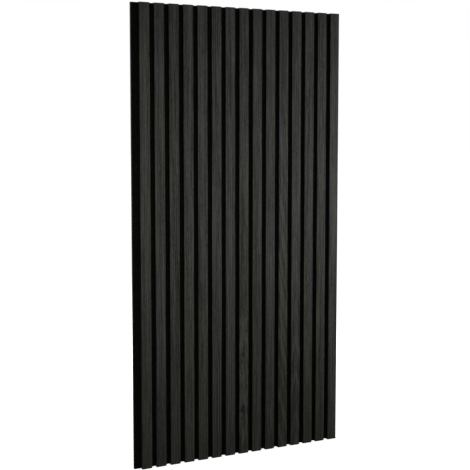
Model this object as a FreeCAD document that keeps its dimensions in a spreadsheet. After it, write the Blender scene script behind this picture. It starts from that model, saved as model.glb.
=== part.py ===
import FreeCAD, Part
import Sketcher
import os

# Acoustic slat wall panel, in millimetres.
# X runs along the panel, Z is up, and the slats face -Y.
# The origin is the middle of the back face, which lies against the wall.
#
# One felt board carries a row of upright slats, each a board core with a veneer on its front.
# The felt laps out past the first slat, where the next panel is set against it.
# Staples are driven from the back through the felt and into every core, in level rows.
# Every staple lies in a slot of its own, cut from the same sizes through the felt and into the core.

# Driving dimensions: name, value and what it measures
SIZES = (
    ("panel_height", 1200, "length of the slats and of the felt"),
    ("slat_count", 15, "slats side by side"),
    ("slat_width", 27, "front face of one slat"),
    ("slat_gap", 13, "open groove between two slats"),
    ("felt_lap", 18, "bare felt past the first slat"),
    ("core_thickness", 11.4, "board core of a slat, front to back"),
    ("veneer_thickness", 0.6, "veneer on the front of a core"),
    ("veneer_arris", 0.3, "flat sanded along each long front edge of a veneer"),
    ("felt_thickness", 9, "felt board, front to back"),
    ("staple_rows", 5, "level rows of staples"),
    ("staple_end_distance", 60, "end of the panel to the nearest row of staples"),
    ("staple_crown", 8.8, "staple, across its two legs"),
    ("staple_length", 16, "staple, from its crown to its points"),
    ("staple_point", 1.6, "slanted cut at the end of a leg"),
    ("staple_bend", 0.6, "flat across the outside of each bend"),
    ("wire_width", 1.25, "staple wire, measured up the panel"),
    ("wire_thickness", 1, "staple wire, measured in the plane of the staple"),
    ("crown_recess", 0.4, "back face of the felt to the crown of a staple"),
)

# Places along the panel and up it
PITCH = "(Sizes.slat_width + Sizes.slat_gap)"
SLAT_SPREAD = f"({PITCH} * (Sizes.slat_count - 1))"
HALF_PANEL = f"((Sizes.felt_lap + {SLAT_SPREAD} + Sizes.slat_width) / 2)"
FIRST_SLAT = f"(Sizes.felt_lap + Sizes.slat_width / 2 - {HALF_PANEL})"
FIRST_ROW = "(Sizes.staple_end_distance - Sizes.panel_height / 2)"
ROW_SPREAD = "(Sizes.panel_height - 2 * Sizes.staple_end_distance)"

# Depths, from the back face towards the room
FELT_FRONT = "(-Sizes.felt_thickness)"
CORE_FRONT = f"({FELT_FRONT} - Sizes.core_thickness)"
VENEER_FRONT = f"({CORE_FRONT} - Sizes.veneer_thickness)"
CROWN_BACK = "(-Sizes.crown_recess)"
CROWN_FRONT = f"({CROWN_BACK} - Sizes.wire_thickness)"
LEG_TIP = f"({CROWN_BACK} - Sizes.staple_length)"
LEG_HEEL = f"({LEG_TIP} + Sizes.staple_point)"

# Half widths, to either side of a slat's middle
HALF_SLAT = "(Sizes.slat_width / 2)"
LEG_OUTSIDE = "(Sizes.staple_crown / 2)"
LEG_INSIDE = f"({LEG_OUTSIDE} - Sizes.wire_thickness)"

ON_AXIS = 1e-9

doc = FreeCAD.newDocument("slat_panel")
sheet = doc.addObject("Spreadsheet::Sheet", "Sizes")
for row, (name, value, meaning) in enumerate(SIZES, start=1):
    sheet.set(f"A{row}", meaning)
    sheet.set(f"B{row}", str(value))
    sheet.setAlias(f"B{row}", name)
doc.recompute()


def new_body(name):
    """Start a body whose label is its own name."""
    body = doc.addObject("PartDesign::Body", name)
    body.Label = name
    return body


def datum(body, role):
    """Find one of the body's own origin planes or axes by its role."""
    return next(feature for feature in body.Origin.OriginFeatures if feature.Role == role)


def pin_corner(sketch, corner, direction, formula):
    """Hold one coordinate of a corner at a formula's distance from the origin."""
    value = float(sketch.evalExpression(formula))
    if abs(value) < ON_AXIS:
        axis = -2 if direction == "X" else -1
        sketch.addConstraint(Sketcher.Constraint("PointOnObject", corner, 1, axis))
        return
    ends = (-1, 1, corner, 1) if value > 0 else (corner, 1, -1, 1)
    index = sketch.addConstraint(Sketcher.Constraint(f"Distance{direction}", *ends, abs(value)))
    label = f"corner_{corner}_{direction}"
    sketch.renameConstraint(index, label)
    sketch.setExpression(f"Constraints.{label}", formula if value > 0 else f"-{formula}")


def plan_sketch(body, name, *outlines):
    """Draw closed outlines in plan at mid height, each corner given as two formulas."""
    sketch = body.newObject("Sketcher::SketchObject", f"{body.Name}_{name}")
    sketch.AttachmentSupport = [(datum(body, "XY_Plane"), "")]
    sketch.MapMode = "FlatFace"
    for corners in outlines:
        first = sketch.GeometryCount
        spots = [FreeCAD.Vector(*(float(sketch.evalExpression(part)) for part in pair), 0) for pair in corners]
        for start, end in zip(spots, spots[1:] + spots[:1]):
            sketch.addGeometry(Part.LineSegment(start, end), False)
        for step, (across, depth) in enumerate(corners):
            following = first + (step + 1) % len(corners)
            sketch.addConstraint(Sketcher.Constraint("Coincident", first + step, 2, following, 1))
            pin_corner(sketch, first + step, "X", across)
            pin_corner(sketch, first + step, "Y", depth)
    return sketch


def extrude(body, kind, sketch, length):
    """Pad or pocket a sketch by a length shared evenly between both sides of its plane."""
    feature = body.newObject(f"PartDesign::{kind}", f"{sketch.Name}_{kind.lower()}")
    feature.Profile = sketch
    feature.SideType = "Symmetric"
    feature.setExpression("Length", length)
    return feature


def at_first_row(sketch):
    """Lower a plan sketch from mid height to the first row of staples."""
    sketch.setExpression("AttachmentOffset.Base.z", FIRST_ROW)
    return sketch


def repeat(body, feature, slats):
    """Repeat a feature in every row of staples, and at as many slats as the formula gives."""
    pattern = body.newObject("PartDesign::LinearPattern", f"{body.Name}_rows")
    pattern.Originals = [feature]
    pattern.Direction = (datum(body, "Z_Axis"), [""])
    pattern.setExpression("Length", ROW_SPREAD)
    pattern.setExpression("Occurrences", "Sizes.staple_rows")
    pattern.Direction2 = (datum(body, "X_Axis"), [""])
    pattern.setExpression("Length2", SLAT_SPREAD)
    pattern.setExpression("Occurrences2", slats)
    body.Tip = pattern


def rectangle(left, right, back, front):
    """Give the corners of a rectangle between two places across and two depths."""
    return [(left, back), (right, back), (right, front), (left, front)]


def both_sides(right_side, centre="0"):
    """Complete a right half outline with its mirror image across the centre."""
    right = [(f"({centre} + {across})", depth) for across, depth in right_side]
    left = [(f"({centre} - {across})", depth) for across, depth in reversed(right_side)]
    return right + left


def make_staples():
    """Bend one staple of flat wire with slanted points, and repeat it over the whole back."""
    staples = new_body("staples")
    wire = both_sides([
        (f"({LEG_OUTSIDE} - Sizes.staple_bend)", CROWN_BACK),
        (LEG_OUTSIDE, f"({CROWN_BACK} - Sizes.staple_bend)"),
        (LEG_OUTSIDE, LEG_HEEL),
        (LEG_INSIDE, LEG_TIP),
        (LEG_INSIDE, CROWN_FRONT),
    ])
    sketch = at_first_row(plan_sketch(staples, "wire", wire))
    repeat(staples, extrude(staples, "Pad", sketch, "Sizes.wire_width"), "Sizes.slat_count")
    staples.setExpression("Placement.Base.x", FIRST_SLAT)
    return staples


def make_felt():
    """Make the felt board, with a slot right through it for every staple."""
    felt = new_body("felt_backing")
    board = rectangle(f"(-{HALF_PANEL})", HALF_PANEL, "0", FELT_FRONT)
    extrude(felt, "Pad", plan_sketch(felt, "board", board), "Sizes.panel_height")
    slot = both_sides([
        (LEG_OUTSIDE, "0"),
        (LEG_OUTSIDE, FELT_FRONT),
        (LEG_INSIDE, FELT_FRONT),
        (LEG_INSIDE, CROWN_FRONT),
    ], FIRST_SLAT)
    sketch = at_first_row(plan_sketch(felt, "slot", slot))
    repeat(felt, extrude(felt, "Pocket", sketch, "Sizes.wire_width"), "Sizes.slat_count")
    return felt


def make_core(number, place):
    """Make a slat's board core, with a blind slot in its back for each leg of its staples."""
    core = new_body(f"slat_core_{number:02d}")
    batten = rectangle(f"(-{HALF_SLAT})", HALF_SLAT, FELT_FRONT, CORE_FRONT)
    extrude(core, "Pad", plan_sketch(core, "batten", batten), "Sizes.panel_height")
    leg = [
        (LEG_OUTSIDE, FELT_FRONT),
        (LEG_OUTSIDE, LEG_HEEL),
        (LEG_INSIDE, LEG_TIP),
        (LEG_INSIDE, FELT_FRONT),
    ]
    other_leg = [(f"(-{across})", depth) for across, depth in leg]
    sketch = at_first_row(plan_sketch(core, "slots", leg, other_leg))
    repeat(core, extrude(core, "Pocket", sketch, "Sizes.wire_width"), "1")
    core.setExpression("Placement.Base.x", place)
    return core


def make_veneer(number, place):
    """Make the veneer on a slat's front, with its long front edges sanded flat."""
    veneer = new_body(f"veneer_{number:02d}")
    face = both_sides([
        (HALF_SLAT, CORE_FRONT),
        (HALF_SLAT, f"({VENEER_FRONT} + Sizes.veneer_arris)"),
        (f"({HALF_SLAT} - Sizes.veneer_arris)", VENEER_FRONT),
    ])
    extrude(veneer, "Pad", plan_sketch(veneer, "face", face), "Sizes.panel_height")
    veneer.setExpression("Placement.Base.x", place)
    return veneer


def check_model(subparts):
    """Stop if an object failed, or if a sub-part has no sound shape."""
    for item in doc.Objects:
        if "Invalid" in item.State or "Error" in item.State:
            raise RuntimeError(f"{item.Label}: {item.State}")
    for item in subparts:
        if item.Shape.isNull() or not item.Shape.isValid():
            raise RuntimeError(f"{item.Label}: no sound shape")


def main():
    """Build every sub-part and write each to a file of its own name."""
    subparts = [make_felt(), make_staples()]
    for number in range(1, int(sheet.slat_count) + 1):
        place = f"{FIRST_SLAT} + {number - 1} * {PITCH}"
        subparts.append(make_core(number, place))
        subparts.append(make_veneer(number, place))
    doc.recompute()
    check_model(subparts)
    os.makedirs("parts", exist_ok=True)
    for item in subparts:
        item.Shape.exportStep(f"parts/{item.Label}.step")
        print(item.Label, len(item.Shape.Solids), "solids", round(item.Shape.Volume, 1), "mm3")


main()
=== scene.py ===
"""Looks of the acoustic slat wall panel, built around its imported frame.

The felt board, the staples and the veneers are modelled here over their frame nodes. The slat cores keep
their frame meshes and take a finish. Everything is in metres and in the frame's own axes: X runs along the
panel, Z is up, and the slats face -Y.
"""

import logging
import math
import random
from dataclasses import asdict, dataclass, field
from enum import Enum

import bmesh
import bpy
from mathutils import Matrix, Vector
from mathutils.noise import noise as smooth_noise


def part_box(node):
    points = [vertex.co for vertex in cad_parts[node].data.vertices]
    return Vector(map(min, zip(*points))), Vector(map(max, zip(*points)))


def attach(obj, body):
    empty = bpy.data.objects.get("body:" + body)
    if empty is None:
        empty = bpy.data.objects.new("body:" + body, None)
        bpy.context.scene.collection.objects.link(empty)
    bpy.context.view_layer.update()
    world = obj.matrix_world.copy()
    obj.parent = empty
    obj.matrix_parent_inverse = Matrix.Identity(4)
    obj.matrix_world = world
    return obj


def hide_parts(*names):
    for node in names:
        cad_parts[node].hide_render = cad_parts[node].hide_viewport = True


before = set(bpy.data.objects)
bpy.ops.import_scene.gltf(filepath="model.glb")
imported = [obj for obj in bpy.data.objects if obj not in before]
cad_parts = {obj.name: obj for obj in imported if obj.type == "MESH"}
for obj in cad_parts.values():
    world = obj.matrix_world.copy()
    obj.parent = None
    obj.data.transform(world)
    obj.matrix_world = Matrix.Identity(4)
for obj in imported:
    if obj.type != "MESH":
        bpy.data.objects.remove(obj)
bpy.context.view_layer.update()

BODY = "root"
SLAT_COUNT = sum(1 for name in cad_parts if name.startswith("slat_core_"))
NO_KNOT = 9.0

# The sockets of the Mix node that take and give colours.
MIX_FIRST, MIX_SECOND, MIX_RESULT = 6, 7, 2

# Lengths under which two places count as one, and the decimals that such places share.
TOUCHING = 1e-6
APART = 1e-5
ON_PLANE = 1e-7
DECIMALS = 6

log = logging.getLogger("slat_panel")

Triple = tuple[float, float, float]
Socket = bpy.types.NodeSocket
Value = Socket | float | tuple


class Slot(Enum):
    """The record's material slots, which the new pieces carry."""

    FELT = "felt"
    VENEER = "veneer"
    WIRE = "staple_wire"


class Axis(Enum):
    """Axes that the felt board is cut across."""

    ALONG = 0
    UP = 2


@dataclass(frozen=True)
class Pattern:
    """Smooth noise of one grain size.

    Attributes:
        per_metre: how many of its units fit in a metre, along each axis.
        detail: how many finer layers lie over the first.
        rough: strength of each finer layer beside the last.
        turn: turn in degrees about each axis, before the stretch.
    """

    per_metre: Triple
    detail: float = 2.0
    rough: float = 0.5
    turn: Triple = (0.0, 0.0, 0.0)


@dataclass(frozen=True)
class Slope:
    """A smooth passage from one level to another.

    Attributes:
        low: value at which it starts.
        high: value at which it ends.
        before: level up to its start.
        after: level from its end on.
    """

    low: float
    high: float
    before: float = 0.0
    after: float = 1.0


class Graph:
    """The node tree of a material or a world, with a short method for each step that the finishes take."""

    def __init__(self, owner: bpy.types.Material | bpy.types.World) -> None:
        """Clear the owner's tree down to a bare output.

        Args:
            owner: the material or the world.
        """
        owner.use_nodes = True
        self.owner = owner
        self.tree = owner.node_tree
        self.tree.nodes.clear()
        self.output = self.node("OutputWorld" if isinstance(owner, bpy.types.World) else "OutputMaterial")

    def node(self, kind: str, *values: Value, **parts: Value | str | bool) -> bpy.types.Node:
        """Add a node.

        Args:
            kind: its type, without the word ShaderNode.
            values: what its first inputs get.
            parts: its settings, and then other inputs by their capitalised names with underscores for spaces.

        Returns:
            The new node.
        """
        made = self.tree.nodes.new(f"ShaderNode{kind}")
        for name, part in parts.items():
            if name.islower():
                setattr(made, name, part)
            else:
                self.feed(made.inputs[name.replace("_", " ")], part)
        for target, value in zip(made.inputs, values):
            self.feed(target, value)
        return made

    def feed(self, target: Socket, value: Value) -> None:
        """Link an output to an input, or set the input to a plain value.

        Args:
            target: the input.
            value: another node's output, a number, or three numbers.
        """
        if isinstance(value, bpy.types.NodeSocket):
            self.tree.links.new(value, target)
        else:
            target.default_value = (*value, 1.0) if target.type == "RGBA" else value

    def place(self) -> Socket:
        """Give the Object coordinates, which are the frame's own axes in metres."""
        return self.node("TexCoord").outputs["Object"]

    def facing(self) -> Socket:
        """Give the surface's own normal before any bump."""
        return self.node("NewGeometry").outputs["Normal"]

    def named(self, attribute: str, output: str = "Fac") -> Socket:
        """Read an attribute of the mesh, as a number or as a Vector."""
        return self.node("Attribute", attribute_name=attribute).outputs[output]

    def calc(self, operation: str, *values: Value, clamp: bool = False) -> Socket:
        """Do one step of arithmetic, and keep it between 0 and 1 if it is clamped."""
        return self.node("Math", *values, operation=operation, use_clamp=clamp).outputs[0]

    def add(self, first: Value, *others: Value) -> Value:
        """Add numbers up.

        Args:
            first: the first number.
            others: the other numbers.

        Returns:
            Their sum.
        """
        for other in others:
            first = self.calc("ADD", first, other)
        return first

    def less(self, first: Value, second: Value) -> Socket:
        """Take the second number from the first."""
        return self.calc("SUBTRACT", first, second)

    def times(self, first: Value, second: Value) -> Socket:
        """Multiply two numbers."""
        return self.calc("MULTIPLY", first, second)

    def over(self, first: Value, second: Value) -> Socket:
        """Divide the first number by the second."""
        return self.calc("DIVIDE", first, second)

    def between(self, first: Value, second: Value) -> Socket:
        """Give how far apart two numbers are."""
        return self.calc("ABSOLUTE", self.less(first, second))

    def hypotenuse(self, first: Value, second: Value) -> Socket:
        """Give the long side of a right triangle from its two short sides."""
        return self.calc("SQRT", self.add(self.times(first, first), self.times(second, second)))

    def apart(self, vector: Value) -> list[Socket]:
        """Split a vector into its three numbers."""
        return list(self.node("SeparateXYZ", vector).outputs)

    def joined(self, *numbers: Value) -> Socket:
        """Make a vector of three numbers."""
        return self.node("CombineXYZ", *numbers).outputs["Vector"]

    def mapped(self, place: Value, pattern: Pattern) -> Socket:
        """Turn a place and stretch it into a pattern's units.

        Args:
            place: the place in metres.
            pattern: the pattern.

        Returns:
            The place in the pattern's units.
        """
        angle = tuple(math.radians(part) for part in pattern.turn)
        turned = self.node("VectorRotate", place, rotation_type="EULER_XYZ", Rotation=angle)
        return self.node("Mapping", turned.outputs["Vector"], Scale=pattern.per_metre).outputs["Vector"]

    def noise(self, vector: Value, detail: float = 2.0, rough: float = 0.5) -> Socket:
        """Give smooth noise from 0 to 1 over a place in the noise's own units."""
        return self.node("TexNoise", vector, Scale=1.0, Detail=detail, Roughness=rough).outputs["Fac"]

    def patterned(self, place: Value, pattern: Pattern) -> Socket:
        """Lay a pattern over a place in metres, from 0 to 1."""
        return self.noise(self.mapped(place, pattern), pattern.detail, pattern.rough)

    def swing(self, place: Value, pattern: Pattern, middle: float = 0.5) -> Socket:
        """Lay a pattern over a place in metres, as a swing to either side of its middle."""
        return self.less(self.patterned(place, pattern), middle)

    def from_point(self, vector: Value) -> Socket:
        """Give the distance to the nearest of scattered points."""
        return self.node("TexVoronoi", vector, Scale=1.0).outputs["Distance"]

    def eased(self, value: Value, slope: Slope) -> Socket:
        """Ease a value from one level to another."""
        levels = (slope.low, slope.high, slope.before, slope.after)
        return self.node("MapRange", value, *levels, interpolation_type="SMOOTHSTEP").outputs["Result"]

    def blend(self, factor: Value, first: Value, second: Value) -> Socket:
        """Mix two colours.

        Args:
            factor: 0 for the first, to 1 for the second.
            first: the first colour.
            second: the second colour.

        Returns:
            The mixed colour.
        """
        made = self.node("Mix", factor, data_type="RGBA")
        self.feed(made.inputs[MIX_FIRST], first)
        self.feed(made.inputs[MIX_SECOND], second)
        return made.outputs[MIX_RESULT]

    def filtered(self, first: Value, second: Value) -> Socket:
        """Multiply two colours."""
        return self.node("VectorMath", first, second, operation="MULTIPLY").outputs["Vector"]

    def shaded(self, colour: Value, strength: Value) -> Socket:
        """Multiply a colour by a number."""
        return self.node("VectorMath", colour, operation="SCALE", Scale=strength).outputs["Vector"]

    def bump(self, height: Value, depth: float) -> Socket:
        """Give the normal of a relief, from a height between 0 and 1 and its depth in metres."""
        return self.node("Bump", Strength=1.0, Distance=depth, Height=height).outputs["Normal"]

    def surface(self, **inputs: Value) -> bpy.types.Material:
        """Finish a material with one shader, from its inputs by name."""
        return self.shown(self.node("BsdfPrincipled", **inputs).outputs["BSDF"])

    def shown(self, shader: Socket) -> bpy.types.Material | bpy.types.World:
        """Lead a shader to the output, and give the owner of the tree."""
        self.feed(self.output.inputs["Surface"], shader)
        return self.owner


@dataclass(frozen=True)
class Bending:
    """How the grain of a veneer wanders from a straight line.

    Attributes:
        sway: its slow wandering.
        sway_width: how wide that is.
        ripple: its quick wandering.
        ripple_width: how wide that is.
    """

    sway: Pattern = Pattern((9.0, 9.0, 2.2))
    sway_width: float = 0.008
    ripple: Pattern = Pattern((60.0, 60.0, 14.0))
    ripple_width: float = 0.0006


class LeafGraph(Graph):
    """The node tree of the veneers, which says where a point lies in its own leaf.

    Attributes:
        own: the point in the leaf's own noise.
        side: its place across the slat from the middle.
        bent: the same, as the grain bends.
        along: its place along the slat.
        run: its place along the leaf.
        seed: a number that differs from leaf to leaf.
    """

    def __init__(self, owner: bpy.types.Material, bending: Bending) -> None:
        """Work out where a point lies.

        Args:
            owner: the material.
            bending: how the grain wanders.
        """
        super().__init__(owner)
        across, _, self.along = self.apart(self.place())
        leaf_across, self.seed, leaf_along = self.apart(self.named("leaf", "Vector"))
        self.run = self.add(self.along, leaf_along)
        self.side = self.add(across, leaf_across)
        self.own = self.joined(self.side, self.seed, self.run)
        slow = self.times(self.swing(self.own, bending.sway), bending.sway_width)
        quick = self.times(self.swing(self.own, bending.ripple), bending.ripple_width)
        leaning = self.times(self.less(self.along, self.named("rise")), self.named("lean"))
        self.bent = self.add(self.side, self.add(slow, quick, leaning))

    def from_rise(self) -> Socket:
        """Give the way up or down from the leaf's rise."""
        return self.between(self.along, self.named("rise"))


@dataclass(frozen=True)
class Rings:
    """The growth rings, where the cones about the heart line meet the leaf.

    Attributes:
        swells: how many swells of the rings' width fit in a metre across them.
        swell: how far a swell shifts a ring, in rings.
        rising: slow change from early to late wood within a ring.
        falling: quick change back at its end.
        middle: kind of wood that neither brightens nor darkens the leaf.
        fading: how the rings fade away from the leaf's rise, in reaches.
    """

    swells: float = 110.0
    swell: float = 1.5
    rising: Slope = Slope(0.25, 0.8)
    falling: Slope = Slope(0.88, 1.0, 1.0, 0.0)
    middle: float = 0.5
    fading: Slope = Slope(0.3, 1.0, 1.0, 0.15)

    def wood(self, leaf: LeafGraph) -> Socket:
        """Say how late in its ring the wood grew.

        Args:
            leaf: the veneers' tree.

        Returns:
            0 in early wood, to 1 in late wood.
        """
        aside = leaf.less(leaf.bent, leaf.named("heart"))
        widening = leaf.times(leaf.along, leaf.named("taper"))
        radius = leaf.add(leaf.hypotenuse(aside, leaf.named("depth")), widening)
        uneven = leaf.noise(leaf.joined(leaf.times(radius, self.swells), leaf.named("rise"), 0.0))
        count = leaf.over(radius, leaf.named("ring"))
        part = leaf.calc("FRACT", leaf.add(count, leaf.times(uneven, self.swell)))
        return leaf.times(leaf.eased(part, self.rising), leaf.eased(part, self.falling))

    def figure(self, leaf: LeafGraph, wood: Socket) -> Socket:
        """Say what the rings add to the brightness.

        Args:
            leaf: the veneers' tree.
            wood: how late in its ring the wood grew.

        Returns:
            The brightness, which is below 0 where they darken the leaf.
        """
        fading = leaf.eased(leaf.over(leaf.from_rise(), leaf.named("reach")), self.fading)
        return leaf.times(leaf.less(wood, self.middle), leaf.times(leaf.named("figure"), fading))


@dataclass(frozen=True)
class Fibres:
    """One size of streak in a veneer.

    Attributes:
        weight: its share in the colour.
        across: streaks in a metre across the grain.
        along: streaks in a metre along it.
        soft: half the span of noise that it keeps, where less is harder.
        middle: middle of that span.
        detail: how many finer layers lie over the first.
        spacing: how far the streaks of neighbouring leaves lie from each other in the noise.
    """

    weight: float
    across: float
    along: float
    soft: float
    middle: float = 0.5
    detail: float = 1.5
    spacing: float = 7.0

    def streaks(self, leaf: LeafGraph) -> Socket:
        """Draw the streaks.

        Args:
            leaf: the veneers' tree.

        Returns:
            What they add to the brightness.
        """
        row = leaf.times(leaf.seed, self.spacing)
        spot = leaf.joined(leaf.times(leaf.bent, self.across), row, leaf.times(leaf.run, self.along))
        kept = Slope(self.middle - self.soft, self.middle + self.soft)
        return leaf.times(leaf.eased(leaf.noise(spot, self.detail), kept), self.weight)


@dataclass(frozen=True)
class Pores:
    """The open pores of a veneer, short dark dashes that crowd into the early wood.

    Attributes:
        across: pores in a metre across the grain.
        along: pores in a metre along it.
        dash: outline of a pore.
        early: how they thin out in late wood.
        crowds: crowds of pores in a metre across the grain.
        crowd: outline of a crowd.
        stray: share of the pores that lie outside the crowds.
        shade: how a pore darkens the colour.
        rougher: how much rougher a pore is.
        depth: depth of the relief of pores and streaks.
    """

    across: float = 2600.0
    along: float = 170.0
    dash: Slope = Slope(0.16, 0.34, 1.0, 0.0)
    early: Slope = Slope(0.15, 0.85, 1.0, 0.25)
    crowds: float = 420.0
    crowd: Slope = Slope(0.4, 0.6)
    stray: float = 0.25
    shade: Slope = Slope(0.0, 1.0, 1.0, 0.4)
    rougher: float = 0.16
    depth: float = 0.00007

    def open(self, leaf: LeafGraph, wood: Socket) -> Socket:
        """Say where a pore is open.

        Args:
            leaf: the veneers' tree.
            wood: how late in its ring the wood grew.

        Returns:
            1 in a pore and 0 beside it.
        """
        spot = leaf.joined(leaf.times(leaf.bent, self.across), leaf.seed, leaf.times(leaf.run, self.along))
        dash = leaf.eased(leaf.from_point(spot), self.dash)
        crowded = leaf.noise(leaf.joined(leaf.times(leaf.bent, self.crowds), leaf.seed, leaf.run))
        share = leaf.add(leaf.eased(crowded, self.crowd), self.stray)
        return leaf.calc("MULTIPLY", dash, leaf.times(leaf.eased(wood, self.early), share), clamp=True)


@dataclass(frozen=True)
class Burr:
    """The blotches of a leaf, which crowd about its rise, and its knot if it has one.

    Attributes:
        patch: size and strength of the blotches.
        paler: how much paler the leaf is among them.
        near: how they thin out away from the rise.
        knot_side: half the width of the knot.
        knot_rise: half the height of the knot.
        ragged: how much the blotches fray the knot.
        knot: what the knot takes from the brightness, from its middle outwards.
    """

    patch: Pattern = Pattern((150.0, 9.0, 52.0), 2.0, 0.6)
    paler: float = 0.10
    near: Slope = Slope(0.10, 0.26, 1.0, 0.0)
    knot_side: float = 0.015
    knot_rise: float = 0.021
    ragged: float = 0.9
    knot: Slope = Slope(0.2, 1.1, 0.30, 0.0)

    def marks(self, leaf: LeafGraph) -> tuple[Socket, Socket]:
        """Draw the blotches and the knot.

        Args:
            leaf: the veneers' tree.

        Returns:
            What the blotches add to the brightness, and what the knot takes from it.
        """
        patch = leaf.swing(leaf.own, self.patch)
        strength = leaf.times(leaf.eased(leaf.from_rise(), self.near), leaf.named("mottle"))
        blotches = leaf.times(leaf.add(patch, self.paler), strength)
        aside = leaf.over(leaf.side, self.knot_side)
        above = leaf.over(leaf.less(leaf.along, leaf.named("knot")), self.knot_rise)
        reach = leaf.add(leaf.hypotenuse(aside, above), leaf.times(patch, self.ragged))
        return blotches, leaf.eased(reach, self.knot)


@dataclass(frozen=True)
class Hues:
    """The cooler and warmer parts of a veneer.

    Attributes:
        cool: filter of the coolest parts.
        warm: filter of the warmest parts.
        patch: size of its patches.
        middle: level of the patches at which a leaf is neither cool nor warm.
        upward: how much cooler it is for each metre up.
        knot: how much cooler it is in a knot.
        span: from the warmest to the coolest.
    """

    cool: Triple = (1.00, 0.970, 1.10)
    warm: Triple = (1.00, 1.020, 0.90)
    patch: Pattern = Pattern((95.0, 9.0, 1.3), 1.0)
    middle: float = 0.53
    upward: float = 0.03
    knot: float = 0.35
    span: Slope = Slope(-0.12, 0.12)

    def filter(self, leaf: LeafGraph, knot: Socket) -> Socket:
        """Choose the filter of the stain.

        Args:
            leaf: the veneers' tree.
            knot: what the knot takes from the brightness.

        Returns:
            The filter's colour.
        """
        patchy = leaf.times(leaf.swing(leaf.own, self.patch, self.middle), leaf.named("blush"))
        drifting = leaf.times(leaf.side, leaf.named("drift"))
        rising = leaf.times(leaf.along, self.upward)
        cool = leaf.add(patchy, drifting, leaf.named("cast"), rising, leaf.times(knot, self.knot))
        return leaf.blend(leaf.eased(cool, self.span), self.warm, self.cool)


@dataclass(frozen=True)
class VeneerFinish:
    """Open-grained veneer, stained charcoal and finished matt.

    The grain is that of a leaf sliced from a log: its growth rings are slender cones about a heart line, and
    a leaf that passes close to the heart shows them as nested arches. A veneer's mesh says where its own
    leaf came from, in the attribute leaf and in one for each number of a Leaf.

    Attributes:
        stain_dark, stain_light: the stain from its darkest to its lightest.
        tones: brightness at which the stain is darkest and lightest.
        plain: tone of a plain leaf.
        roughness: roughness between the pores.
        gloss: strength of its reflection.
        raised: how far the streaks stand out of the relief, beside the pores' depth.
        bending, rings, pores, burr, hues: the parts of its grain.
        fibres: its streaks, from broad bands down to hairlines.
    """

    stain_dark: Triple = (0.0102, 0.0104, 0.0093)
    stain_light: Triple = (0.0605, 0.0613, 0.0545)
    tones: Slope = Slope(0.135, 0.92)
    plain: float = 0.5
    roughness: float = 0.6
    gloss: float = 0.08
    raised: float = 0.5
    bending: Bending = Bending()
    rings: Rings = Rings()
    pores: Pores = Pores()
    burr: Burr = Burr()
    hues: Hues = Hues()
    fibres: tuple[Fibres, ...] = (
        Fibres(weight=0.15, across=100.0, along=1.4, soft=0.20),
        Fibres(weight=0.22, across=320.0, along=3.6, soft=0.16),
        Fibres(weight=0.22, across=430.0, along=12.0, soft=0.14),
        Fibres(weight=0.12, across=560.0, along=50.0, soft=0.14),
        Fibres(weight=0.21, across=1100.0, along=150.0, soft=0.16),
        Fibres(weight=0.14, across=2600.0, along=60.0, soft=0.20),
    )

    def material(self) -> bpy.types.Material:
        """Build the finish.

        Returns:
            The material.
        """
        leaf = LeafGraph(bpy.data.materials.new("charcoal_veneer"), self.bending)
        wood = self.rings.wood(leaf)
        streaks = leaf.add(*(kind.streaks(leaf) for kind in self.fibres))
        pores = self.pores.open(leaf, wood)
        blotches, knot = self.burr.marks(leaf)
        light = leaf.less(leaf.add(streaks, self.rings.figure(leaf, wood), blotches), knot)
        toned = leaf.add(light, leaf.less(leaf.named("tone"), self.plain))
        stain = leaf.blend(leaf.eased(toned, self.tones), self.stain_dark, self.stain_light)
        tinted = leaf.filtered(stain, self.hues.filter(leaf, knot))
        roughness = Slope(0.0, 1.0, self.roughness, self.roughness + self.pores.rougher)
        relief = leaf.less(leaf.times(streaks, self.raised), pores)
        return leaf.surface(
            Base_Color=leaf.shaded(tinted, leaf.eased(pores, self.pores.shade)),
            Roughness=leaf.eased(pores, roughness),
            Normal=leaf.bump(relief, self.pores.depth),
            Specular_IOR_Level=self.gloss,
        )


@dataclass(frozen=True)
class FibreboardFinish:
    """Black-dyed fibreboard, smooth on its sides, and paler and speckled where it is sawn.

    Attributes:
        side: colour of a side.
        sawn: colour of a sawn end.
        end: how level a face is from side to sawn end.
        chips, chip_light: speckles of an end, and how they change its colour.
        layers, layer_light: layers of an end, and what they add to its colour.
        scuffs, scuff_light: marks on a side, and how they change its colour.
        depth: depth of the chips.
        roughness: roughness all over.
        gloss: strength of its reflection.
    """

    side: Triple = (0.0034, 0.0034, 0.0030)
    sawn: Triple = (0.0200, 0.0195, 0.0180)
    end: Slope = Slope(0.6, 0.9)
    chips: Pattern = Pattern((2600.0, 900.0, 2600.0), 3.0, 0.6, (0.0, 0.0, 4.0))
    chip_light: Slope = Slope(0.3, 0.75, 0.35, 1.5)
    layers: Pattern = Pattern((40.0, 1500.0, 40.0))
    layer_light: float = 0.3
    scuffs: Pattern = Pattern((500.0, 900.0, 12.0), 3.0)
    scuff_light: Slope = Slope(0.35, 0.75, 0.7, 1.7)
    depth: float = 0.00006
    roughness: float = 0.75
    gloss: float = 0.05

    def material(self) -> bpy.types.Material:
        """Build the finish.

        Returns:
            The material.
        """
        graph = Graph(bpy.data.materials.new("black_fibreboard"))
        place = graph.place()
        level = graph.calc("ABSOLUTE", graph.apart(graph.facing())[2])
        chips = graph.patterned(place, self.chips)
        layers = graph.times(graph.patterned(place, self.layers), self.layer_light)
        sawn = graph.shaded(self.sawn, graph.add(graph.eased(chips, self.chip_light), layers))
        side = graph.shaded(self.side, graph.eased(graph.patterned(place, self.scuffs), self.scuff_light))
        return graph.surface(
            Base_Color=graph.blend(graph.eased(level, self.end), side, sawn),
            Roughness=self.roughness,
            Normal=graph.bump(chips, self.depth),
            Specular_IOR_Level=self.gloss,
        )


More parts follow.
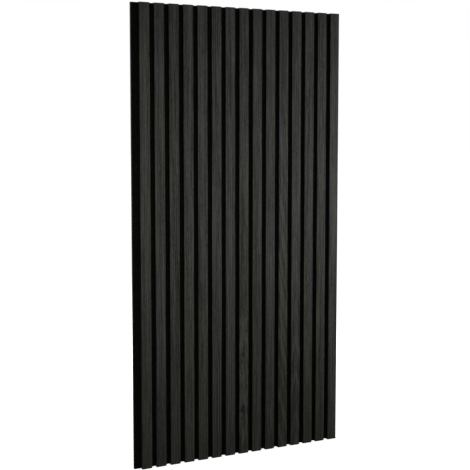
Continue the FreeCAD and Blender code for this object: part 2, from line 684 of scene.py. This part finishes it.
@dataclass(frozen=True)
class FeltFinish:
    """Black pressed felt: a mat of short fibres that lie every way.

    Attributes:
        shade: painted shade, the colour between the fibres.
        lit: painted light, the colour on top of them.
        strands: fibres in a metre, across, through and along them.
        detail: how many finer layers lie over each layer of fibres.
        angles: turns in degrees at which the layers lie.
        strand: outline of a fibre.
        warp: what bends the fibres.
        push: how far it bends those of the first layer, and one more for each layer after it.
        clumps, clump_light: clumps of fibres, and how they change the colour.
        depth: depth of the fibres.
        roughness: roughness all over.
        gloss: strength of its reflection.
    """

    shade: Triple = (0.0019, 0.0019, 0.0015)
    lit: Triple = (0.0106, 0.0106, 0.0088)
    strands: Triple = (2300.0, 900.0, 260.0)
    detail: float = 1.0
    angles: tuple[float, ...] = (12.0, 47.0, 83.0, 118.0, 156.0)
    strand: Slope = Slope(0.56, 0.74)
    warp: Pattern = Pattern((220.0, 220.0, 220.0))
    push: float = 4.0
    clumps: Pattern = Pattern((130.0, 130.0, 130.0), 3.0, 0.6)
    clump_light: Slope = Slope(0.3, 0.75, 0.55, 1.35)
    depth: float = 0.00025
    roughness: float = 0.95
    gloss: float = 0.03

    def material(self) -> bpy.types.Material:
        """Build the finish, from stretched noise laid over itself at several angles.

        Returns:
            The material.
        """
        graph = Graph(bpy.data.materials.new("black_felt"))
        place = graph.place()
        warp = graph.patterned(place, self.warp)
        mat: Value = 0.0
        for number, angle in enumerate(self.angles):
            spun = graph.mapped(place, Pattern(self.strands, turn=(0.0, angle, 0.0)))
            bend = graph.times(warp, self.push + number)
            shifted = graph.joined(*(graph.add(part, bend) for part in graph.apart(spun)))
            mat = graph.calc("MAXIMUM", mat, graph.eased(graph.noise(shifted, self.detail), self.strand))
        clumps = graph.eased(graph.patterned(place, self.clumps), self.clump_light)
        # The fibre tops take painted light and the gaps between them take painted shade.
        return graph.surface(
            Base_Color=graph.shaded(graph.blend(mat, self.shade, self.lit), clumps),
            Roughness=self.roughness,
            Normal=graph.bump(mat, self.depth),
            Specular_IOR_Level=self.gloss,
        )


@dataclass(frozen=True)
class WireFinish:
    """Galvanised staple wire, dulled in patches and lightly scratched.

    Attributes:
        bright: colour where it is bright.
        dull: colour where it is dull.
        patches, brightness: patches of the wire, and how bright they are.
        scratches, roughness: scratches, and the roughness that they give.
        depth: depth of the scratches.
    """

    bright: Triple = (0.50, 0.50, 0.51)
    dull: Triple = (0.26, 0.26, 0.265)
    patches: Pattern = Pattern((700.0, 700.0, 700.0))
    brightness: Slope = Slope(0.35, 0.65)
    scratches: Pattern = Pattern((160.0, 160.0, 4200.0))
    roughness: Slope = Slope(0.3, 0.7, 0.28, 0.46)
    depth: float = 0.00001

    def material(self) -> bpy.types.Material:
        """Build the finish.

        Returns:
            The material.
        """
        graph = Graph(bpy.data.materials.new("galvanised_wire"))
        place = graph.place()
        scratches = graph.patterned(place, self.scratches)
        brightness = graph.eased(graph.patterned(place, self.patches), self.brightness)
        return graph.surface(
            Base_Color=graph.blend(brightness, self.dull, self.bright),
            Roughness=graph.eased(scratches, self.roughness),
            Normal=graph.bump(scratches, self.depth),
            Metallic=1.0,
        )


@dataclass
class Piece:
    """A new mesh that is finished in place.

    Attributes:
        name: name of the piece.
        slot: the record's slot for its material, which is not used.
        mesh: the mesh.
    """

    name: str
    slot: Slot
    mesh: bmesh.types.BMesh = field(default_factory=bmesh.new)

    def cuboid(self, low: Vector, high: Vector) -> None:
        """Add a box between two corners."""
        place = Matrix.Translation((low + high) / 2) @ Matrix.Diagonal((*(high - low), 1.0))
        bmesh.ops.create_cube(self.mesh, size=1.0, matrix=place)

    def rounded(self, edges: list[bmesh.types.BMEdge], width: float, segments: int) -> None:
        """Round edges over.

        Args:
            edges: the edges.
            width: how far back the rounding starts.
            segments: facets round each edge.
        """
        bmesh.ops.bevel(
            self.mesh, geom=edges, offset=width, offset_type="OFFSET", segments=segments,
            affect="EDGES", profile=0.5, material=-1,
        )

    def done(self, material: bpy.types.Material, *nodes: str, smooth: float = 0.6) -> bpy.types.Object:
        """Turn the mesh into an object that rides on the panel and stands for its frame nodes.

        Args:
            material: the piece's finish.
            nodes: frame nodes that it replaces.
            smooth: angle in radians under which neighbouring faces shade smoothly.

        Returns:
            The new object.
        """
        data = bpy.data.meshes.new(self.name)
        self.mesh.to_mesh(data)
        self.mesh.free()
        data.materials.append(material)
        data.shade_smooth()
        data.set_sharp_from_angle(angle=smooth)
        item = bpy.data.objects.new(self.name, data)
        bpy.context.scene.collection.objects.link(item)
        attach(item, BODY)
        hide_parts(*nodes)
        log.info("%s: %d faces", self.name, len(data.polygons))
        return item


@dataclass(frozen=True)
class Leaf:
    """Where in its log a slat's veneer was sliced, and how it looks there.

    Attributes:
        heart: place of the heart line, across the slat from its middle.
        rise: height on the slat at which the heart line is there.
        lean: how far the heart line runs out across the slat for each metre along it.
        depth: distance of the leaf from the heart line.
        taper: how much wider the rings are for each metre along.
        ring: width of a growth ring.
        figure: strength of the growth rings.
        reach: how far up and down from the rise the rings fade.
        mottle: strength of the blotches.
        tone: brightness, where 0.5 is plain.
        cast: how cool its hue is, where 0 is plain.
        drift: how much cooler it turns for each metre across.
        blush: strength of its cooler and warmer patches.
        knot: height of its knot on the slat, far off where it has none.
    """

    heart: float
    rise: float
    lean: float
    depth: float
    taper: float
    ring: float
    figure: float
    reach: float
    mottle: float
    tone: float
    cast: float
    drift: float
    blush: float
    knot: float = NO_KNOT


@dataclass
class VeneerRow:
    """The veneers on the fronts of the slats.

    Attributes:
        arris: radius of the sanded long front edges.
        arris_steps: facets round such an edge.
        figured: leaves chosen for what they show, by slat.
        seed: start of the random draws for the other leaves.
        noise_apart: how far a leaf lies from its neighbour in the noise, through it and along it.
    """

    arris: float = 0.0003
    arris_steps: int = 3
    figured: tuple[tuple[int, Leaf], ...] = (
        (6, Leaf(
            heart=0.030, rise=-0.30, lean=0.010, depth=0.008, taper=0.016, ring=0.004, figure=0.50,
            reach=0.50, mottle=0.25, tone=0.47, cast=0.03, drift=2.0, blush=0.5,
        )),
        (7, Leaf(
            heart=0.040, rise=-0.35, lean=0.014, depth=0.010, taper=0.020, ring=0.005, figure=0.50,
            reach=0.60, mottle=0.20, tone=0.49, cast=0.02, drift=8.0, blush=0.5,
        )),
        (8, Leaf(
            heart=-0.003, rise=-0.40, lean=0.010, depth=0.006, taper=0.060, ring=0.009, figure=0.20,
            reach=0.30, mottle=1.30, tone=0.435, cast=-0.03, drift=0.0, blush=0.3, knot=-0.478,
        )),
        (11, Leaf(
            heart=-0.014, rise=-0.42, lean=0.020, depth=0.004, taper=0.200, ring=0.017, figure=0.20,
            reach=0.90, mottle=0.25, tone=0.49, cast=-0.01, drift=3.0, blush=1.4,
        )),
        (12, Leaf(
            heart=0.001, rise=-0.46, lean=0.010, depth=0.003, taper=0.220, ring=0.021, figure=0.27,
            reach=0.32, mottle=0.25, tone=0.50, cast=-0.02, drift=0.0, blush=0.8,
        )),
        (13, Leaf(
            heart=0.110, rise=0.10, lean=0.002, depth=0.008, taper=0.004, ring=0.0034, figure=0.16,
            reach=5.00, mottle=0.05, tone=0.50, cast=-0.03, drift=6.0, blush=0.8,
        )),
    )
    seed: int = 30629
    noise_apart: tuple[float, float] = (3.7, 0.83)

    def leaves(self) -> dict[int, Leaf]:
        """Choose a leaf for every slat.

        Returns:
            Slat number to leaf.
        """
        draw = random.Random(self.seed)
        chosen = {}
        for number in range(1, SLAT_COUNT + 1):
            chosen[number] = Leaf(
                heart=draw.uniform(0.05, 0.16) * draw.choice((-1.0, 1.0)),
                rise=draw.uniform(-0.6, 0.6),
                lean=draw.gauss(0.0, 0.003),
                depth=draw.uniform(0.002, 0.02),
                taper=draw.uniform(0.002, 0.01),
                ring=draw.uniform(0.0026, 0.0042),
                figure=draw.uniform(0.12, 0.22),
                reach=draw.uniform(1.0, 4.0),
                mottle=draw.uniform(0.0, 0.14),
                tone=draw.gauss(0.5, 0.022),
                cast=draw.gauss(0.0, 0.018),
                drift=draw.gauss(0.0, 2.0),
                blush=draw.uniform(0.3, 1.2),
            )
        return chosen | dict(self.figured)

    def build(self, finish: VeneerFinish) -> None:
        """Model every veneer and write its leaf into its mesh.

        Args:
            finish: the veneers' finish.
        """
        material = finish.material()
        for number, leaf in self.leaves().items():
            node = f"veneer_{number:02d}"
            low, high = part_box(node)
            piece = Piece(f"leaf_{number:02d}", Slot.VENEER)
            piece.cuboid(low, high)
            edges = [edge for edge in piece.mesh.edges if self.is_arris(edge, low)]
            piece.rounded(edges, self.arris, self.arris_steps)
            self.mark(piece.done(material, node), leaf, number, (low.x + high.x) / 2)

    def is_arris(self, edge: bmesh.types.BMEdge, low: Vector) -> bool:
        """Say whether an edge is one of the two long ones at the front.

        Args:
            edge: the edge.
            low: lowest corner of the veneer, which lies in its front face.

        Returns:
            True for a long front edge.
        """
        first, second = (vert.co for vert in edge.verts)
        at_front = abs(first.y - low.y) < TOUCHING and abs(second.y - low.y) < TOUCHING
        return at_front and abs(first.x - second.x) < TOUCHING

    def mark(self, item: bpy.types.Object, leaf: Leaf, number: int, middle: float) -> None:
        """Write a leaf into a veneer's attributes.

        Args:
            item: the veneer.
            leaf: its leaf.
            number: the slat's number, which sets it apart in the noise.
            middle: place of the slat's middle along the panel.
        """
        count = len(item.data.vertices)
        for name, value in asdict(leaf).items():
            layer = item.data.attributes.new(name, "FLOAT", "POINT")
            layer.data.foreach_set("value", [value] * count)
        through, along = self.noise_apart
        shift = item.data.attributes.new("leaf", "FLOAT_VECTOR", "POINT")
        shift.data.foreach_set("vector", [-middle, through * number, along * number] * count)


@dataclass
class CoreRow:
    """The board cores, which keep their frame meshes."""

    def sides(self) -> list[tuple[float, float]]:
        """List the left and right side of every slat."""
        boxes = [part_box(f"slat_core_{number:02d}") for number in range(1, SLAT_COUNT + 1)]
        return [(low.x, high.x) for low, high in boxes]

    def dress(self, finish: FibreboardFinish) -> None:
        """Give every core its finish.

        Args:
            finish: the cores' finish.
        """
        material = finish.material()
        for number in range(1, SLAT_COUNT + 1):
            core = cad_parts[f"slat_core_{number:02d}"]
            core.data.materials.clear()
            core.data.materials.append(material)
        log.info("cores: %d dressed", SLAT_COUNT)


@dataclass(frozen=True)
class StapleSize:
    """Sizes of one staple of flat wire.

    Attributes:
        crown: across its two legs.
        length: from its crown to its points.
        thick: its wire, measured in the plane of the staple.
        wide: its wire, measured up the panel.
        point: length of the slanted cut at the end of a leg.
        bend: outside radius of a bend.
        recess: depth of its crown under the back of the board.
    """

    crown: float = 0.0088
    length: float = 0.016
    thick: float = 0.001
    wide: float = 0.00125
    point: float = 0.0016
    bend: float = 0.0006
    recess: float = 0.0004

    @property
    def outside(self) -> float:
        """Give the way from its middle to the outside of a leg."""
        return self.crown / 2

    @property
    def inside(self) -> float:
        """Give the way from its middle to the inside of a leg."""
        return self.crown / 2 - self.thick


@dataclass
class Staples:
    """The staples, with the bends of their wire rounded.

    Attributes:
        low, high: corners of the felt board.
        slats: left and right side of every slat.
        size: sizes of one staple.
        rows: level rows of staples.
        end_distance: end of the panel to the nearest row.
        bend_steps: facets round a bend.
    """

    low: Vector
    high: Vector
    slats: list[tuple[float, float]]
    size: StapleSize = StapleSize()
    rows: int = 5
    end_distance: float = 0.06
    bend_steps: int = 4

    def crowns(self) -> list[Vector]:
        """Find the middle of the back of every crown.

        Returns:
            One point for each staple, slat by slat.
        """
        spacing = (self.high.z - self.low.z - 2 * self.end_distance) / (self.rows - 1)
        heights = [self.low.z + self.end_distance + spacing * row for row in range(self.rows)]
        depth = self.high.y - self.size.recess
        middles = [(left + right) / 2 for left, right in self.slats]
        return [Vector((middle, depth, height)) for middle in middles for height in heights]

    def build(self, finish: WireFinish) -> None:
        """Model one staple at every crown.

        Args:
            finish: the wire's finish.
        """
        piece = Piece("staple_wires", Slot.WIRE)
        for crown in self.crowns():
            self.bend_one(piece, crown)
        bmesh.ops.recalc_face_normals(piece.mesh, faces=piece.mesh.faces)
        piece.done(finish.material(), "staples")

    def bend_one(self, piece: Piece, crown: Vector) -> None:
        """Bend one staple: draw its outline, give it the wire's width and round its bends.

        Args:
            piece: the piece to add to.
            crown: middle of the back of the staple's crown.
        """
        size = self.size
        right = [
            (size.outside, 0.0),
            (size.outside, size.point - size.length),
            (size.inside, -size.length),
            (size.inside, -size.thick),
        ]
        outline = right + [(-across, depth) for across, depth in reversed(right)]
        bottom = crown.z - size.wide / 2
        spots = [(crown.x + across, crown.y + depth, bottom) for across, depth in outline]
        corners = [piece.mesh.verts.new(spot) for spot in spots]
        face = piece.mesh.faces.new(corners)
        raised = bmesh.ops.extrude_face_region(piece.mesh, geom=[face])["geom"]
        lifted = {part for part in raised if isinstance(part, bmesh.types.BMVert)}
        bmesh.ops.translate(piece.mesh, verts=list(lifted), vec=(0.0, 0.0, size.wide))
        shoulders = (corners[0], corners[-1])
        bends = [edge for vert in shoulders for edge in vert.link_edges if edge.other_vert(vert) in lifted]
        piece.rounded(bends, size.bend, self.bend_steps)


@dataclass
class FeltBoard:
    """The felt board, slotted and pulled in at every staple, with a front that swells between the slats.

    Attributes:
        low, high: corners of its frame node.
        slats: left and right side of every slat.
        staples: the staples that its slots are cut for.
        swell: how far the front stands out in the middle of a groove.
        swell_steps: ways from a slat's left side or the board's own at which it is cut for the swell.
        dimple: radius of the hollow round a crown.
        dimple_columns, dimple_rows: ways from a staple's middle at which it is cut for the hollow.
        bite: how far a crown stands out of its hollow.
        lumps: height of the soft unevenness of the back.
        lumps_per_metre: how many lumps fit in a metre.
        edge: radius of the board's worn edges.
        row_pitch: spacing of the level cuts between the staples.
        smooth: angle in radians under which its faces shade smoothly.
    """

    low: Vector
    high: Vector
    slats: list[tuple[float, float]]
    staples: Staples
    swell: float = 0.0004
    swell_steps: tuple[float, ...] = (0.003, 0.006, 0.009)
    dimple: float = 0.008
    dimple_columns: tuple[float, ...] = (0.0052, 0.0066, 0.0088, 0.0115)
    dimple_rows: tuple[float, ...] = (0.0014, 0.0026, 0.0042, 0.006, 0.008)
    bite: float = 0.0003
    lumps: float = 0.00012
    lumps_per_metre: float = 22.0
    edge: float = 0.0007
    row_pitch: float = 0.03
    smooth: float = 1.0

    def __post_init__(self) -> None:
        """Note the size of a staple, and the columns and the rows that the crowns stand in."""
        crowns = self.staples.crowns()
        self.staple = self.staples.size
        self.crown_columns = sorted({round(crown.x, DECIMALS) for crown in crowns})
        self.crown_rows = sorted({round(crown.z, DECIMALS) for crown in crowns})

    def build(self, finish: FeltFinish) -> None:
        """Model the board.

        Args:
            finish: the felt's finish.
        """
        piece = Piece("felt_board", Slot.FELT)
        piece.cuboid(self.low, self.high)
        self.cut(piece.mesh, Axis.ALONG, self.columns())
        self.cut(piece.mesh, Axis.UP, self.rows())
        self.slot(piece.mesh)
        self.press(piece.mesh)
        piece.done(finish.material(), "felt_backing", smooth=self.smooth)

    def columns(self) -> list[float]:
        """List the places across the board where its mesh is cut.

        Returns:
            The places, from left to right.
        """
        steps = (0.0, self.staple.inside, self.staple.outside, *self.dimple_columns)
        found = {self.high.x - self.edge, self.low.x + self.edge}
        found.update(self.low.x + step for step in self.swell_steps)
        for left, right in self.slats:
            middle = (left + right) / 2
            found.update(middle + side * step for step in steps for side in (-1.0, 1.0))
            found.update((left, right, *(left - step for step in self.swell_steps)))
        return sorted(found)

    def rows(self) -> list[float]:
        """List the heights at which its mesh is cut, which leave every slot in one row of faces.

        Returns:
            The heights, from the bottom up.
        """
        steps = (self.staple.wide / 2, *self.dimple_rows)
        found = {self.low.z + self.edge, self.high.z - self.edge}
        for row in self.crown_rows:
            found.update(row + side * step for step in steps for side in (-1.0, 1.0))
        for step in range(1, round((self.high.z - self.low.z) / self.row_pitch)):
            level = self.low.z + self.row_pitch * step
            if min(abs(level - row) for row in self.crown_rows) > steps[-1]:
                found.add(level)
        return sorted(found)

    def cut(self, mesh: bmesh.types.BMesh, axis: Axis, places: list[float]) -> None:
        """Slice the mesh by planes across one axis.

        Args:
            mesh: the board's mesh.
            axis: the axis.
            places: where the planes cross it.
        """
        normal = Vector((0.0, 0.0, 0.0))
        normal[axis.value] = 1.0
        for place in places:
            if self.low[axis.value] + APART < place < self.high[axis.value] - APART:
                geom = list(mesh.verts) + list(mesh.edges) + list(mesh.faces)
                spot = normal * place
                bmesh.ops.bisect_plane(mesh, geom=geom, dist=ON_PLANE, plane_co=spot, plane_no=normal)

    def from_crown(self, spot: Vector) -> tuple[float, float]:
        """Measure the way from a spot to the middle of the nearest staple.

        Args:
            spot: a point of the board.

        Returns:
            The way across the board, and the way up it.
        """
        across = min(abs(spot.x - column) for column in self.crown_columns)
        up = min(abs(spot.z - row) for row in self.crown_rows)
        return across, up

    def slot(self, mesh: bmesh.types.BMesh) -> None:
        """Open a slot for every staple, as deep as its crown and right through at each leg.

        Args:
            mesh: the board's mesh.
        """
        depth = self.staple.recess + self.staple.thick
        floors = self.sink(mesh, self.over_staples(mesh, self.high.y, 0.0), depth)
        legs = [face for face in floors if self.from_crown(face.calc_center_median())[0] > self.staple.inside]
        self.sink(mesh, legs, self.high.y - self.low.y - depth)
        doors = self.over_staples(mesh, self.low.y, self.staple.inside)
        rims = {vert for face in doors for vert in face.verts}
        bmesh.ops.delete(mesh, geom=doors, context="FACES")
        bmesh.ops.remove_doubles(mesh, verts=[vert for vert in rims if vert.is_valid], dist=TOUCHING)

    def over_staples(self, mesh: bmesh.types.BMesh, depth: float, beyond: float) -> list[bmesh.types.BMFace]:
        """Find the faces at one depth that lie over the staples' wire.

        Args:
            mesh: the board's mesh.
            depth: place of the faces from back to front.
            beyond: least way from a staple's middle.

        Returns:
            The faces.
        """
        found = []
        for face in mesh.faces:
            middle = face.calc_center_median()
            if abs(middle.y - depth) < TOUCHING:
                across, up = self.from_crown(middle)
                if beyond < across < self.staple.outside and up < self.staple.wide / 2:
                    found.append(face)
        return found

    def sink(
        self, mesh: bmesh.types.BMesh, faces: list[bmesh.types.BMFace], depth: float,
    ) -> list[bmesh.types.BMFace]:
        """Push faces into the board.

        Args:
            mesh: the board's mesh.
            faces: faces that look backwards.
            depth: how far they go in.

        Returns:
            The faces as they then lie.
        """
        grown = bmesh.ops.extrude_face_region(mesh, geom=faces)["geom"]
        moved = [part for part in grown if isinstance(part, bmesh.types.BMVert)]
        bmesh.ops.translate(mesh, verts=moved, vec=(0.0, -depth, 0.0))
        return [part for part in grown if isinstance(part, bmesh.types.BMFace)]

    def press(self, mesh: bmesh.types.BMesh) -> None:
        """Move the vertices of the back and the front to their soft forms.

        Args:
            mesh: the board's mesh.
        """
        for vert in mesh.verts:
            if vert.co.y > self.high.y - TOUCHING:
                vert.co.y -= self.hollow(vert.co)
            elif vert.co.y < self.low.y + TOUCHING:
                vert.co.y -= self.bulge(vert.co.x)

    def hollow(self, spot: Vector) -> float:
        """Say how far the back lies in from its flat plane at a spot.

        Args:
            spot: a point of the flat back.

        Returns:
            The depth in metres.
        """
        grain = self.lumps_per_metre
        waves = self.lumps * (0.5 + 0.5 * smooth_noise(Vector((spot.x * grain, 0.0, spot.z * grain))))
        border = min(spot.x - self.low.x, self.high.x - spot.x, spot.z - self.low.z, self.high.z - spot.z)
        worn = self.edge * max(0.0, 1.0 - border / self.edge) ** 2
        across, up = self.from_crown(spot)
        reach = math.hypot(max(0.0, across - self.staple.outside), max(0.0, up - self.staple.wide / 2))
        near = max(0.0, 1.0 - reach / self.dimple)
        pulled = (self.staple.recess + self.bite) * near * near * (3.0 - 2.0 * near)
        return max(waves * (1.0 - near), pulled) + worn

    def bulge(self, across: float) -> float:
        """Say how far the front stands out into a groove.

        Args:
            across: a place across the board.

        Returns:
            The height in metres, which is 0 under a slat.
        """
        starts = [self.low.x] + [right for _, right in self.slats]
        ends = [left for left, _ in self.slats]
        for start, end in zip(starts, ends):
            if start < across < end:
                return self.swell * math.sin(math.pi * (across - start) / (end - start))
        return 0.0


@dataclass
class Lamp:
    """One soft lamp.

    Attributes:
        name: what it does.
        place: where it stands.
        target: where it points.
        size: width and height.
        power: radiant power in watts.
        beam: angle of its beam in degrees, where 180 is no limit.
        tint: colour of its light.
    """

    name: str
    place: Triple
    target: Triple
    size: tuple[float, float]
    power: float
    beam: float
    tint: Triple = (1.0, 1.0, 1.0)

    def build(self) -> None:
        """Hang the lamp and point it."""
        data = bpy.data.lights.new(self.name, "AREA")
        data.shape = "RECTANGLE"
        data.size, data.size_y = self.size
        data.energy = self.power
        data.color = self.tint
        data.spread = math.radians(self.beam)
        lamp = bpy.data.objects.new(self.name, data)
        lamp.location = self.place
        aim = Vector(self.target) - Vector(self.place)
        lamp.rotation_euler = aim.to_track_quat("-Z", "Y").to_euler()
        bpy.context.scene.collection.objects.link(lamp)


@dataclass
class Studio:
    """The pale floor, the white surround, the lamps and the camera.

    Attributes:
        bottom: height of the panel's bottom end.
        floor_drop: how far the floor lies under it.
        floor_reach: half the side of the floor.
        floor_glow: strength of the floor's own light to the eye.
        floor_catch: its colour to the eye, which shows a shadow.
        floor_grey: colour that it throws back on the panel.
        eye: place of the camera.
        heading: turn of the camera from looking straight at the panel, in degrees.
        tip: how far the camera looks down, in degrees.
        lens: focal length in millimetres.
        sensor: width of the sensor in millimetres.
        shift: sideways and upward shift of the picture.
        ambient: strength of the surround's own light.
        ambient_tint: its colour.
        lamps: the lamps.
    """

    bottom: float
    floor_drop: float = 0.0005
    floor_reach: float = 30.0
    floor_glow: float = 0.86
    floor_catch: Triple = (0.8, 0.8, 0.8)
    floor_grey: Triple = (0.06, 0.06, 0.06)
    eye: Triple = (-1.1349, -2.3208, 0.2791)
    heading: float = 25.908
    tip: float = 4.5
    lens: float = 73.76
    sensor: float = 36.0
    shift: tuple[float, float] = (0.0, -0.0617)
    ambient: float = 0.29
    ambient_tint: Triple = (1.0, 1.012, 0.89)
    lamps: tuple[Lamp, ...] = (
        Lamp(
            "key_over_front", place=(0.12, -1.6, 0.9), target=(0.06, 0.0, 0.25), size=(1.4, 0.5),
            power=1.51, beam=60.0, tint=(0.985, 0.998, 1.08),
        ),
        Lamp(
            "front_left", place=(-0.5, -1.1, 0.12), target=(-0.2, 0.0, 0.0), size=(0.8, 0.4),
            power=0.56, beam=70.0,
        ),
        Lamp(
            "front_right", place=(1.6, -1.3, 0.26), target=(0.3, 0.0, 0.06), size=(0.3, 0.4),
            power=1.14, beam=40.0,
        ),
        Lamp(
            "back_fill", place=(-0.8, 1.8, 0.9), target=(0.0, 0.0, 0.0), size=(1.6, 1.2),
            power=70.0, beam=180.0,
        ),
    )

    def build(self) -> None:
        """Set up everything round the panel."""
        self.lay_floor()
        self.paint_surround()
        for lamp in self.lamps:
            lamp.build()
        self.set_camera()
        log.info("studio: floor, surround, %d lamps and camera", len(self.lamps))

    def seen_or_not(self, graph: Graph, seen: Socket, other: Socket) -> Socket:
        """Choose one shader for the camera, gloss and glass, and another for the rest.

        Args:
            graph: the tree.
            seen: shader that the camera, gloss and glass see.
            other: shader that lights the panel.

        Returns:
            The chosen shader.
        """
        path = graph.node("LightPath").outputs
        direct = graph.calc("MAXIMUM", path["Is Camera Ray"], path["Is Glossy Ray"])
        viewed = graph.calc("MAXIMUM", direct, path["Is Transmission Ray"])
        return graph.node("MixShader", viewed, other, seen).outputs[0]

    def lay_floor(self) -> None:
        """Lay the floor: white to the eye with a light shadow on it, and grey to the light on the panel."""
        mesh = bmesh.new()
        bmesh.ops.create_grid(mesh, x_segments=2, y_segments=2, size=self.floor_reach)
        bmesh.ops.translate(mesh, verts=mesh.verts, vec=(0.0, 0.0, self.bottom - self.floor_drop))
        data = bpy.data.meshes.new("studio_floor")
        mesh.to_mesh(data)
        mesh.free()
        floor = bpy.data.objects.new("studio_floor", data)
        bpy.context.scene.collection.objects.link(floor)
        graph = Graph(bpy.data.materials.new("studio_floor"))
        glow = graph.node("Emission", Strength=self.floor_glow).outputs[0]
        catcher = graph.node("BsdfDiffuse", self.floor_catch).outputs[0]
        white = graph.node("AddShader", glow, catcher).outputs[0]
        grey = graph.node("BsdfDiffuse", self.floor_grey).outputs[0]
        data.materials.append(graph.shown(self.seen_or_not(graph, white, grey)))

    def paint_surround(self) -> None:
        """Make the surround white to the eye, and a dim even light otherwise."""
        graph = Graph(bpy.data.worlds.new("studio"))
        white = graph.node("Background", (1.0, 1.0, 1.0), 1.0).outputs[0]
        dim = graph.node("Background", self.ambient_tint, self.ambient).outputs[0]
        bpy.context.scene.world = graph.shown(self.seen_or_not(graph, white, dim))

    def set_camera(self) -> None:
        """Set the camera where the photograph was taken from."""
        data = bpy.data.cameras.new("camera")
        data.lens = self.lens
        data.sensor_width = self.sensor
        data.shift_x, data.shift_y = self.shift
        camera = bpy.data.objects.new("camera", data)
        camera.location = self.eye
        camera.rotation_euler = (math.radians(90.0 - self.tip), 0.0, math.radians(-self.heading))
        bpy.context.scene.collection.objects.link(camera)
        bpy.context.scene.camera = camera


def main() -> None:
    """Build the panel's looks and the studio round it."""
    logging.basicConfig(level=logging.INFO, format="%(name)s %(message)s")
    low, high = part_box("felt_backing")
    cores = CoreRow()
    slats = cores.sides()
    staples = Staples(low, high, slats)
    FeltBoard(low, high, slats, staples).build(FeltFinish())
    staples.build(WireFinish())
    cores.dress(FibreboardFinish())
    VeneerRow().build(VeneerFinish())
    Studio(bottom=low.z).build()
    bpy.context.scene.view_settings.view_transform = "Standard"


if __name__ == "__main__":
    main()
